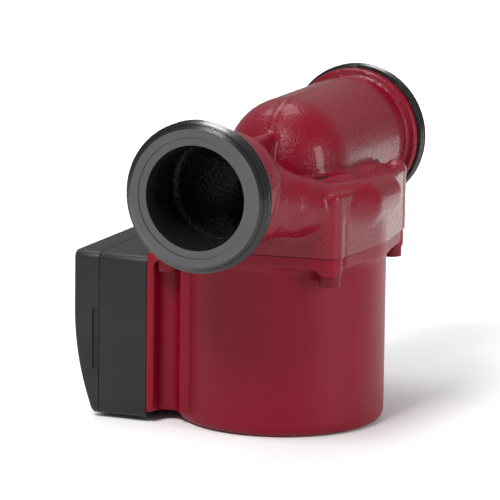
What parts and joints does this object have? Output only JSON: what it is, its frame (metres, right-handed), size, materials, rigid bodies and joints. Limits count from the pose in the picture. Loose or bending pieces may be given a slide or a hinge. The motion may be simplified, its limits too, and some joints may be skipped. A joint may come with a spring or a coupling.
{
  "type": "circulator pump",
  "caption": "Wet-rotor heating circulator standing on its motor, with two inline threaded union ports, a cast pump housing and a side terminal box with speed knob.",
  "frame": {"origin": "centre of the motor's front face, on the shaft axis", "axes": "+Z along the shaft from the motor towards the pump housing, +X from the outlet port to the inlet port, +Y towards the terminal box"},
  "size_m": [0.18, 0.1238, 0.1343],
  "materials": {
    "red_casting": "glossy red paint over cast iron",
    "red_motor": "satin red paint over cast aluminium",
    "red_screws": "painted steel screws",
    "brass": "turned brass",
    "composite": "glass-filled plastic",
    "steel": "bright steel",
    "stainless": "drawn stainless sheet",
    "lamination": "stacked electrical sheet",
    "cage_metal": "cast aluminium",
    "bearing_ceramic": "ground ceramic",
    "carbon": "carbon graphite",
    "seal_rubber": "EPDM rubber",
    "copper": "enamelled copper wire",
    "lead_jacket": "silicone sleeve",
    "plate_foil": "blank anodised plate",
    "box_plastic": "fine-textured black plastic",
    "cover_plastic": "fine-textured black plastic",
    "block_plastic": "moulded polyamide",
    "cap_case": "moulded case",
    "switch_plastic": "moulded plastic",
    "knob_plastic": "moulded red plastic"
  },
  "bodies": {
    "stationary": {"pump_housing": "red_casting", "wear_ring": "stainless", "pump_end_bearing": "bearing_ceramic", "motor_end_bearing": "bearing_ceramic", "bearing_plate": "stainless", "rotor_can": "stainless", "can_nose_nut": "brass", "nose_seal": "seal_rubber", "housing_gasket": "seal_rubber", "stator_core": "lamination", "stator_coils": "copper", "winding_leads": "lead_jacket", "lead_grommet": "seal_rubber", "motor_housing": "red_motor", "flange_screws": "red_screws", "blank_plate": "plate_foil", "terminal_base": "box_plastic", "base_screws": "steel", "cover_gasket": "seal_rubber", "terminal_block": "block_plastic", "terminal_clamps": "brass", "terminal_screws": "steel", "earth_tag": "brass", "earth_screw": "steel", "capacitor": "cap_case", "capacitor_strap": "steel", "speed_switch": "switch_plastic", "gland_body": "box_plastic", "gland_seal": "seal_rubber", "gland_nut": "box_plastic"},
    "rotor": {"shaft": "bearing_ceramic", "rotor_core": "lamination", "rotor_end_rings": "cage_metal", "rotor_sleeve": "stainless", "thrust_cushion": "seal_rubber", "thrust_ring": "carbon", "impeller": "composite", "impeller_shroud": "composite", "impeller_lock_ring": "steel"},
    "vent_seal": {"vent_washer": "seal_rubber"},
    "vent_plug": {"vent_screw": "brass"},
    "knob": {"speed_knob": "knob_plastic"},
    "cover": {"terminal_cover": "cover_plastic"}
  },
  "joints": [
    {"name": "rotor_spin", "type": "hinge", "parent": "stationary", "child": "rotor", "pos_m": [0, 0, 0.05], "axis": [0, 0, 1], "continuous": true},
    {"name": "vent_travel", "type": "slide", "parent": "stationary", "child": "vent_seal", "axis": [0, 0, -1], "range_m": [0, 0.00451]},
    {"name": "vent_turn", "type": "hinge", "parent": "vent_seal", "child": "vent_plug", "pos_m": [0, 0, 0.003], "axis": [0, 0, -1], "range_deg": [0, 1080]},
    {"name": "speed_select", "type": "hinge", "parent": "stationary", "child": "knob", "pos_m": [0, 0.07, 0.034], "axis": [0, 1, 0], "range_deg": [0, 120]},
    {"name": "cover_pull", "type": "slide", "parent": "stationary", "child": "cover", "axis": [0, 1, 0], "range_m": [0, 0.03]}
  ],
  "couplings": [
    {"joint": "vent_travel", "follows": "vent_turn", "m_per_rad": 0.00023873}
  ]
}
